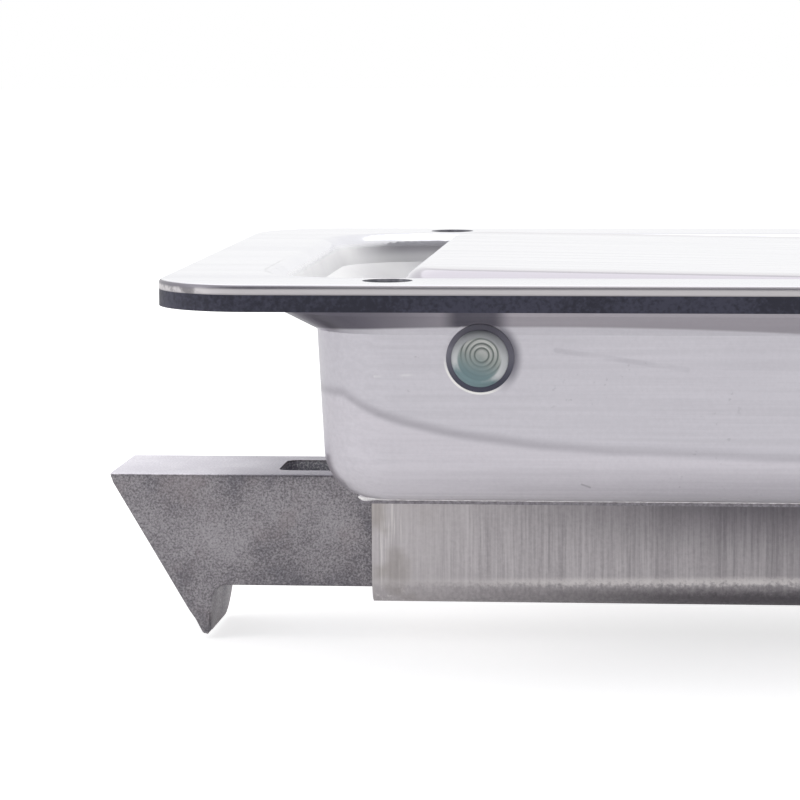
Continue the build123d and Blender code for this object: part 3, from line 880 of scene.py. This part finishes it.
@dataclass(frozen=True)
class Moulded(Finish):
    """Moulded rubber or plastic: matt, with a fine grain and slow tone changes.

    Attributes:
        dark: darker tone.
        light: lighter tone.
        rough: roughness.
        grain_mm: size of the moulded grain.
    """

    dark: str = "#31313F"
    light: str = "#484859"
    rough: float = 0.55
    grain_mm: float = 0.3

    def shade(self, tree: Tree) -> Socket:
        """Slow noise tints the surface and fine noise gives its grain.

        Args:
            tree: the tree that gets the nodes.

        Returns:
            The shader's socket.
        """
        slow, fine = tree.pattern(5.0, 3.0), tree.pattern(self.grain_mm, 3.0, 0.6)
        tint = tree.add("Blend", (tree.add("ADD", slow, fine), 0.8, 1.2), self.dark, self.light)
        relief = tree.add("Relief", fine, 0.012 * MM)
        return tree.add("Surface", 0.0, tint, self.rough, relief, 0.35)


@dataclass(frozen=True)
class StagePaper(Finish):
    """Matt paper or card, which may glow a little where the camera, metal or glass shows it.

    Attributes:
        colour: linear colour with an alpha of 1.
        seen_glow: strength of its glow to the camera.
        mirrored_glow: strength of its glow in metal and glass.
    """

    colour: tuple[float, float, float, float] = (0.8, 0.8, 0.8, 1.0)
    seen_glow: float = 0.0
    mirrored_glow: float = 0.0

    def shade(self, tree: Tree) -> Socket:
        """Diffuse paper, plus a glow that only those rays meet.

        Args:
            tree: the tree that gets the nodes.

        Returns:
            The shader's socket.
        """
        paper = tree.add("Paper", self.colour)
        if not self.seen_glow:
            return paper
        seen, glossy, clear = tree.rays()
        mirrored = tree.add("MULTIPLY", tree.add("MAXIMUM", glossy, clear), self.mirrored_glow)
        strength = tree.add("MULTIPLY_ADD", seen, self.seen_glow, mirrored)
        return tree.add("AddShader", paper, tree.add("Glow", "#FFFFFF", strength))


# Sheared steel with the torn grain of the cut, near white as a painted highlight.
SHEARED_EDGE_HIGHLIGHT = SheetMetal(
    "sheared_edge_highlight", "#DAD7D8", "#FBF9F9", grain=Grain.NONE, line_mm=0.5
)
FINISHES = {
    # Stainless sheet, deep drawn: satin outside, polished on its face.
    "stainless_steel": PressedTray("pressed_stainless"),
    # Stainless sheet, buffed: nearly a mirror, with painted shade where it rolls over to its sides.
    "polished_stainless": SheetMetal(
        "polished_stainless_sheet",
        "#E8E8ED",
        "#F0F0F4",
        dull=0.18,
        bright=0.12,
        line_mm=0.8,
        line_depth_mm=0.0002,
        wave_depth_mm=0.006,
        roll_shade="#BFBBC3",
    ),
    # Neoprene sheet: near black and matt.
    "gasket_rubber": Moulded("black_neoprene"),
    # Mild steel under bright zinc: grey and softly glossy, without a grain.
    "zinc_plated_steel": SheetMetal("bright_zinc_plate", grain=Grain.NONE, line_mm=0.6),
    # Turned steel under zinc: pale, with tool rings and a green-blue tint.
    "zinc_plated_pin": TurnedPlate("turned_zinc_plate"),
    # Zinc alloy, die cast and tumbled: matt, grey and sandy.
    "cast_zinc": CastMetal("tumbled_zinc_casting"),
    # Mild steel strip, folded: drawn upright lines and a scuffed bend.
    "channel_steel": DrawnChannel("drawn_channel_steel"),
    # Spring wire, drawn: darker, with a dull shine.
    "spring_wire": SheetMetal("drawn_spring_wire", "#7C7D82", "#9A9BA0", grain=Grain.NONE),
    # Nylon, moulded: milky and even.
    "nylon": Moulded("natural_nylon", "#D6D5CC", "#E2E1DA", 0.45),
}


@dataclass
class CarriedNodes:
    """The frame's own pieces, which keep their shape and get their real finish.

    Attributes:
    """

    frame: dict

    def dress(self) -> None:
        """Gives every node the material of its slot in the record."""
        slots = {s["node"]: s["material_slot"] for s in self.frame["record"]["subparts"]}
        for name, node in self.frame["nodes"].items():
            material = FINISHES[slots[name]].material()
            if not node.data.materials:
                node.data.materials.append(material)
            for slot in node.material_slots:
                slot.material = material
            log.info("node %s: %s", name, material.name)


@dataclass
class Piece:
    """A modelled surface that rides on one body of the frame.

    Attributes:
        name: the piece's name.
        body: the body that it moves with.
        slot: the record's material slot that it takes its finish from.
    """

    name: str
    body: str
    slot: str

    def finish(self) -> Finish:
        """The finish that the piece shows."""
        return FINISHES[self.slot]

    def grid(self) -> np.ndarray:
        """Points of the surface in mm: rows along it, columns round it, columns closed."""
        raise NotImplementedError

    def carry(self, piece: bpy.types.Object) -> None:
        """Lets the piece move with its body."""
        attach(piece, self.body)

    def build(self) -> bpy.types.Object:
        """Makes the mesh from the grid, gives it its finish and lets it ride.

        Each face joins a point, the next one round, and the same two points of the next row.

        Returns:
            The piece's object.
        """
        points = self.grid()
        rows, columns, _ = points.shape
        low = np.arange(rows - 1)[:, None] * columns
        here = np.arange(columns)[None, :]
        there = (here + 1) % columns
        quads = np.stack(
            [low + here, low + there, low + columns + there, low + columns + here], axis=-1
        )
        mesh = bpy.data.meshes.new(self.name)
        mesh.from_pydata((points.reshape(-1, 3) * MM).tolist(), [], quads.reshape(-1, 4).tolist())
        mesh.validate()
        mesh.polygons.foreach_set("use_smooth", [True] * len(mesh.polygons))
        mesh.set_sharp_from_angle(angle=math.radians(SHARP_ANGLE))
        mesh.materials.append(self.finish().material())
        piece = show(self.name, mesh)
        self.carry(piece)
        log.info("piece %s: %d faces", self.name, len(mesh.polygons))
        return piece


@dataclass
class PivotPin(Piece):
    """Headed pivot pin with tool rings on its face and a peened rear end.

    Its outline is a half section turned about the pin's axis. The rings are round valleys about
    a centre a little off the axis; they are deepest on the upper half, where the tool cut last.

    Attributes:
        front: Y of the face in mm.
        rear: Y of the peened end in mm.
        ring_depth: depth of the valleys.
        ring_limit: distance from the axis at which the rings have ended.
        dome_turn: angles in degrees at which the dome's arc starts and how far it goes on.
        steps: points along the face, along the dome, along the peened edge and round the pin.
    """

    front: float = 0.0
    rear: float = 0.0
    ring_depth: float = 0.08
    ring_limit: float = 2.35
    dome_turn: tuple[float, float] = (8.0, 74.0)
    steps: tuple[int, int, int, int] = (40, 14, 10, 144)

    def half_section(self) -> np.ndarray:
        """Radius and Y of the outline from the middle of the face to the middle of the rear end.

        The dome's radius goes with the sine of its angle and its Y with 1 minus the cosine; each
        is divided by about its whole change over the arc. The peened edge is a quarter circle.

        Returns:
            An array of radius and Y, one row a point.
        """
        front, rear = self.front, self.rear
        first, further = self.dome_turn
        bulge = np.radians(first + further * np.linspace(0.0, 1.0, self.steps[1])[1:])
        dome_r = 2.55 + 0.9 * (np.sin(bulge) - np.sin(np.radians(first))) / 0.852
        dome_y = front + 0.04 + 1.0 * (1 - np.cos(bulge)) / 0.861
        face_r = np.linspace(0.02, 2.5, self.steps[0])
        peen = np.radians(np.linspace(0.0, 90.0, self.steps[2]))
        runs = [
            np.column_stack([face_r, np.full_like(face_r, front)]),
            np.column_stack([dome_r, dome_y]),
            [(3.5, front + 1.15), (4.02, front + 1.36), (4.1, front + 1.44)],
            [(4.1, front + 1.74), (3.0, front + 1.75), (3.0, rear - 1.0), (3.45, rear - 1.0)],
            np.column_stack([2.65 + 0.8 * np.cos(peen), rear - 0.8 + 0.8 * np.sin(peen)]),
            [(1.6, rear), (1.2, rear - 0.25), (0.02, rear - 0.4)],
        ]
        return np.vstack([np.asarray(run) for run in runs])

    def grid(self) -> np.ndarray:
        """Turns the half section and presses the rings into the face.

        A ring's depth is half of 1 plus the cosine of the distance from the rings' centre, which
        repeats each pitch, times a share that falls off below and towards the rings' limit.

        Returns:
            The points, rows along the section and columns round the axis.
        """
        section = self.half_section()
        turn = full_turn(self.steps[3])
        radius = section[:, :1]
        x = radius * np.cos(turn)[None, :]
        z = radius * np.sin(turn)[None, :]
        y = np.repeat(section[:, 1:], turn.size, axis=1)
        far = np.hypot(x - RING_CENTRE[0], z - RING_CENTRE[1])
        valley = 0.5 + 0.5 * np.cos(2 * np.pi * (far - RING_FIRST) / RING_PITCH)
        valley *= far > RING_FIRST - RING_PITCH / 2
        upper = np.clip((z + 0.5 * x + 1.4) / 2.4, 0.12, 1.0)
        inside = np.clip((self.ring_limit - radius) / 0.2, 0.0, 1.0) * (y < self.front + 0.02)
        y = y + self.ring_depth * valley * upper * inside
        return np.stack([x + PIN_AXIS[0], y, z + PIN_AXIS[1]], axis=-1)


@dataclass
class SpotWeld(Piece):
    """Shallow round mark that a welding tip leaves under a sheet: a raised ring round a dimple.

    Attributes:
        centre: X, Y and Z of the mark in mm.
        radius: radius of the mark.
        ring_height: height of the ring.
        middle_height: height of what it goes round.
    """

    centre: tuple[float, float, float] = (0.0, 0.0, 0.0)
    radius: float = 2.1
    ring_height: float = 0.09
    middle_height: float = 0.03

    def grid(self) -> np.ndarray:
        """Turns a low ring-and-dimple profile about an upright axis, facing down.

        The ring is a bell curve of the share of the radius; sines of the turn make the outline
        and the height uneven, and the outer edge goes just into the sheet.

        Returns:
            The points, rows outwards and columns round the mark.
        """
        share = np.linspace(0.02, 1.0, 16)[:, None]
        turn = full_turn(40)[None, :]
        bell = np.exp(-(((share - 0.78) / 0.14) ** 2))
        ring = self.ring_height * bell + self.middle_height * (share < 0.7)
        wobble = 1.0 + 0.05 * np.sin(3 * turn + self.centre[0]) + 0.03 * np.sin(5 * turn)
        height = ring * (1.0 + 0.25 * np.sin(4 * turn + self.centre[1]))
        x = self.centre[0] + self.radius * share * wobble * np.cos(turn)
        y = self.centre[1] + self.radius * share * wobble * np.sin(turn)
        z = self.centre[2] - (height + np.where(share > 0.98, -0.02, 0.0))
        return np.stack([x, y, z], axis=-1)


@dataclass
class EdgeBurr(Piece):
    """Burr that shearing leaves along a sheet's edge, curled up at its free end, in near-white
    metal as a painted highlight.

    Attributes:
        start: X, Y and Z of the free end in mm.
        length: length of the burr along X.
        half_height: half its height.
        half_depth: half its depth.
        curl: how far its free end is curled up.
    """

    start: tuple[float, float, float] = (0.0, 0.0, 0.0)
    length: float = 70.0
    half_height: float = 0.2
    half_depth: float = 0.1
    curl: float = 0.25

    def finish(self) -> Finish:
        """Near-white metal, a painted highlight along the feet's edge."""
        return SHEARED_EDGE_HIGHLIGHT

    def grid(self) -> np.ndarray:
        """Carries a lumpy oval along the edge; its size swells at the free end.

        The lumps are a sum of sines of X, the swelling is a bell curve, the ends close as the
        root of the distance to them, and the curl fades with X.

        Returns:
            The points, rows along the edge and columns round the oval.
        """
        along = np.linspace(0.0, 1.0, 260)[:, None]
        turn = full_turn(12)[None, :]
        x = self.start[0] + along * self.length
        lumps = 1.0 + 0.06 * np.sin(x * 2.1) + 0.05 * np.sin(x * 5.3 + 1.0)
        lumps += 0.04 * np.sin(x * 11.7)
        swell = 1.0 + 1.1 * np.exp(-(((x - self.start[0] - 0.9) / 1.1) ** 2))
        size = lumps * swell * np.sqrt(np.clip(np.minimum(along, 1 - along) * 90, 0.0004, 1.0))
        y = self.start[1] + self.half_depth * size * np.cos(turn)
        curl = self.curl * np.exp(-((x - self.start[0]) / 1.3))
        z = self.start[2] + curl + self.half_height * size * np.sin(turn)
        return np.stack([x + 0 * turn, y, z], axis=-1)


@dataclass
class CoilSpring(Piece):
    """Compression spring that is pressed together between the bolt and the frame.

    The wire's middle is a helix round an axis along X.

    Attributes:
        low: X, Y and Z of the spring's lower corner in mm.
        high: X, Y and Z of its upper corner.
        wire: half the wire's thickness.
        turns: number of turns.
        turn_steps: points of the helix in one turn.
    """

    low: Vector = field(default_factory=Vector)
    high: Vector = field(default_factory=Vector)
    wire: float = 0.5
    turns: int = 12
    turn_steps: int = 24

    def grid(self) -> np.ndarray:
        """Carries a round ring along the helix, and closes it at both ends.

        Returns:
            The points, rows along the wire and columns round it.
        """
        middle = (self.low + self.high) / 2
        radius = (self.high.z - self.low.z) / 2 - self.wire
        first, last = self.low.x + self.wire, self.high.x - self.wire
        turn = np.linspace(0.0, 2 * np.pi * self.turns, self.turn_steps * self.turns + 1)[:, None]
        x = first + (last - first) * turn / turn[-1]
        path = np.hstack([x, middle.y + radius * np.cos(turn), middle.z + radius * np.sin(turn)])
        rise = np.full_like(turn, (last - first) / turn[-1, 0])
        along = np.hstack([rise, -radius * np.sin(turn), radius * np.cos(turn)])
        along /= np.linalg.norm(along, axis=1)[:, None]
        out = np.hstack([0 * turn, np.cos(turn), np.sin(turn)])
        side = np.cross(along, out)
        size = np.full(len(turn), self.wire)
        path, out, side = (np.vstack([a[:1], a, a[-1:]]) for a in (path, out, side))
        size = np.concatenate([[0.01], size, [0.01]])[:, None, None]
        ring = full_turn(12)[None, :, None]
        return path[:, None] + size * (np.cos(ring) * out[:, None] + np.sin(ring) * side[:, None])

    def carry(self, piece: bpy.types.Object) -> None:
        """Bakes the spring's place into its mesh; the spring rides on no body.

        Args:
            piece: the spring's object.
        """
        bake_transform(piece)


@dataclass
class BoltTip(Piece):
    """Sharp near corner of the bolt's hooked tip, which the frame's bolt has rounded off.

    The tip's outline in X and Z is carried from the bolt's side face inward, where it runs into the
    frame's bolt; every corner of the outline is slightly rounded by extra points beside it.

    Attributes:
        side_y: Y of the bolt's side face in mm.
        inner_y: Y at which the piece has gone inside the bolt.
        outline: X and Z of the tip's corners.
        cut: how far beside a corner its rounding starts.
    """

    side_y: float = 0.0
    inner_y: float = 0.0
    outline: tuple[tuple[float, float], ...] = ()
    cut: float = 0.12

    def grid(self) -> np.ndarray:
        """Rounds the outline's corners, then carries it along Y with a closed outer end.

        Returns:
            The points, rows inwards and columns round the outline.
        """
        corners = np.asarray(self.outline)
        before, after = (np.roll(corners, step, axis=0) - corners for step in (1, -1))
        before /= np.linalg.norm(before, axis=1)[:, None]
        after /= np.linalg.norm(after, axis=1)[:, None]
        nearer = corners + 0.03 * (before + after)
        ring = np.stack([corners + self.cut * before, nearer, corners + self.cut * after], axis=1)
        ring = ring.reshape(-1, 2)
        middle = ring.mean(axis=0)
        reach = self.inner_y - self.side_y
        rows = np.array([(0.02, 0.0), (0.6, 0.0), (0.97, 0.0), (1.0, 0.1), (1.0, abs(reach))])
        flat = middle + rows[:, :1, None] * (ring - middle)
        y = self.side_y + np.sign(reach) * rows[:, 1:] + 0 * flat[:, :, 0]
        return np.stack([flat[:, :, 0], y, flat[:, :, 1]], axis=-1)


@dataclass
class Details:
    """All the modelled pieces, placed from the frame's own boxes. Sizes are in mm.

    Attributes:
        tip_depth: how far the bolt's tip goes in from the side.
        tip_top: X and Z of the two upper corners of its outline.
        tip_low: X of the two lower ones, and their height over the bolt's lowest point.
        burr_drop: how far a burr's middle lies below the feet's top.
        burr_share: its Y as a share of the feet's reach.
        weld_drop: how far a weld lies below the feet's top.
        weld_share: its Y as a share of the feet's reach.
        weld_inset: distance from the channel's end to the first weld.
        weld_count: number of welds on each side.
    """

    tip_depth: float = 5.0
    tip_top: tuple[tuple[float, float], ...] = ((-72.2, -42.02), (-69.22, -42.02))
    tip_low: tuple[tuple[float, float], ...] = ((-69.5, 0.01), (-70.18, 0.2))
    burr_drop: float = 0.62
    burr_share: float = 0.9985
    weld_drop: float = 1.21
    weld_share: float = 0.72
    weld_inset: float = 9.0
    weld_count: int = 4

    def add_pin(self) -> None:
        """Makes the pivot pin in the place of the frame's own."""
        low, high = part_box("pivot_pin")
        pin = PivotPin("turned_pin", "frame", "zinc_plated_pin", low.y / MM, high.y / MM).build()
        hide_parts("pivot_pin")

    def add_spring(self) -> None:
        """Makes the bolt's spring in the place of the frame's own."""
        low, high = (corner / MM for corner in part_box("bolt_spring"))
        spring = CoilSpring("pressed_spring", "bolt", "spring_wire", low, high).build()
        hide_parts("bolt_spring")

    def add_tip(self) -> None:
        """Makes the sharp corner of the bolt's tip."""
        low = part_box("bolt")[0] / MM
        outline = self.tip_top + tuple((x, low.z + rise) for x, rise in self.tip_low)
        BoltTip(
            "bolt_tip_corner", "bolt", "cast_zinc", low.y, low.y + self.tip_depth, outline
        ).build()

    def add_foot_marks(self) -> None:
        """Makes a burr along each foot of the channel, and the spot welds under it."""
        low, high = (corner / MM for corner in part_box("bolt_channel"))
        sides = (("front", low.y), ("rear", high.y))
        for side, y in sides:
            start = (low.x + 0.05, y * self.burr_share, high.z - self.burr_drop)
            name = f"foot_burr_{side}"
            EdgeBurr(name, "frame", "channel_steel", start, high.x - low.x - 0.1).build()
        row = np.linspace(low.x + self.weld_inset, high.x - self.weld_inset, self.weld_count)
        for index, x in enumerate(row):
            for side, y in sides:
                centre = (float(x), y * self.weld_share, high.z - self.weld_drop)
                name = f"spot_weld_{side}_{index + 1}"
                SpotWeld(name, "frame", "channel_steel", centre).build()

    def build(self) -> None:
        """Makes pin, spring, bolt tip, burrs and spot welds."""
        self.add_pin()
        self.add_spring()
        self.add_tip()
        self.add_foot_marks()


@dataclass(frozen=True)
class SoftBox:
    """Square soft lamp that faces the latch.

    Attributes:
        name: the lamp's name.
        place: where it stands.
        side: the length of its side.
        power: its power in watts.
    """

    name: str
    place: tuple[float, float, float]
    side: float
    power: float

    def hang(self) -> None:
        """Adds the lamp."""
        data = bpy.data.lights.new(self.name, "AREA")
        data.size = self.side
        data.energy = self.power
        lamp = show(self.name, data)
        lamp.location = self.place
        lamp.rotation_euler = (-Vector(self.place)).to_track_quat("-Z", "Y").to_euler()


@dataclass
class Studio:
    """Plain pale floor, soft light all round, a grey card in front and the camera.

    Attributes:
        floor_level: height of the floor.
        floor_half: half the floor's side.
        floor: the floor's white paper.
        card: the card's dark paper.
        card_half: half the card's length.
        card_y: where the card stands.
        card_z: heights of its lower and upper edge.
        world_light: strength of the white surroundings as a light.
        lamps: the soft boxes.
        camera_place: where the camera stands.
        camera_turn: its turn to the left, its tilt down and its roll in degrees.
        lens: its focal length in mm.
        sensor: its sensor's width in mm.
        reach: the nearest and furthest distance that it shows.
    """

    floor_level: float
    floor_half: float = 3.0
    floor: StagePaper = StagePaper("white_paper", seen_glow=0.68, mirrored_glow=0.28)
    card: StagePaper = StagePaper("grey_card", (0.42, 0.42, 0.44, 1.0))
    card_half: float = 1.6
    card_y: float = -0.8
    card_z: tuple[float, float] = (0.07, 1.5)
    world_light: float = 0.72
    lamps: tuple[SoftBox, ...] = (
        SoftBox("top_box", (-0.25, 0.15, 1.2), 2.0, 5.8),
        SoftBox("left_box", (-1.0, -0.6, 0.45), 0.7, 2.0),
    )
    camera_place: tuple[float, float, float] = (0.66 * MM, -466.99 * MM, 35.73 * MM)
    camera_turn: tuple[float, float, float] = (5.6, 6.31, -0.285)
    lens: float = 161.31
    sensor: float = 36.0
    reach: tuple[float, float] = (0.01, 50.0)

    def add_sheet(self, name: str, corners: list, paper: StagePaper) -> bpy.types.Object:
        """Adds one flat four-cornered stage sheet.

        Args:
            name: the sheet's name.
            corners: its corners, in order.
            paper: its finish.

        Returns:
            The sheet's object.
        """
        mesh = bpy.data.meshes.new(name)
        mesh.from_pydata(corners, [], [(0, 1, 2, 3)])
        mesh.materials.append(paper.material())
        sheet = show(name, mesh)
        sheet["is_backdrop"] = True
        return sheet

    def lay_floor(self) -> None:
        """A flat square of white paper."""
        h, z = self.floor_half, self.floor_level
        self.add_sheet("floor", [(-h, -h, z), (h, -h, z), (h, h, z), (-h, h, z)], self.floor)

    def hang_card(self) -> None:
        """A dark grey card in front that gives the metal's edges something dark to show."""
        x, y, (low, high) = self.card_half, self.card_y, self.card_z
        corners = [(-x, y, low), (x, y, low), (x, y, high), (-x, y, high)]
        self.add_sheet("front_card", corners, self.card).visible_camera = False

    def light_world(self) -> None:
        """Even white surroundings, a little dimmer as a light than they look."""
        world = bpy.data.worlds.new("studio")
        bpy.context.scene.world = world
        world.use_nodes = True
        tree = Tree(world.node_tree)
        seen, glossy, clear = tree.rays()
        shown = tree.add("MAXIMUM", tree.add("MAXIMUM", seen, glossy), clear)
        soft = tree.add("Background", "#FFFFFF", self.world_light)
        white = tree.add("Background", "#FFFFFF", 1.0)
        tree.add("World", tree.add("MixShader", shown, soft, white))

    def place_camera(self) -> None:
        """Long lens almost square to the front wall, turned a little left and looking down."""
        yaw, pitch, roll = (math.radians(a) for a in self.camera_turn)
        forward = Vector(
            (-math.sin(yaw) * math.cos(pitch), math.cos(yaw) * math.cos(pitch), -math.sin(pitch))
        )
        right = Vector((math.cos(yaw), math.sin(yaw), 0.0))
        up = right.cross(forward)
        x_axis = math.cos(roll) * right + math.sin(roll) * up
        y_axis = -math.sin(roll) * right + math.cos(roll) * up
        turn = Matrix((x_axis, y_axis, -forward)).transposed()
        data = bpy.data.cameras.new("camera")
        data.lens = self.lens
        data.sensor_width = self.sensor
        data.clip_start, data.clip_end = self.reach
        camera = show("camera", data)
        camera.matrix_world = Matrix.Translation(Vector(self.camera_place)) @ turn.to_4x4()
        bpy.context.scene.camera = camera

    def build(self) -> None:
        """Makes floor, card, surroundings, lamps and camera."""
        self.lay_floor()
        self.hang_card()
        self.light_world()
        for lamp in self.lamps:
            lamp.hang()
        self.place_camera()
        bpy.context.scene.view_settings.view_transform = "Standard"


def main() -> None:
    """Loads the frame, dresses it and sets up the studio."""
    logging.basicConfig(level=logging.INFO, format="%(name)s: %(message)s")
    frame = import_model()
    solid_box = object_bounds()
    CarriedNodes(frame).dress()
    Details().build()
    Studio(floor_level=solid_box[0].z - 0.6 * MM).build()


if __name__ == "__main__":
    main()
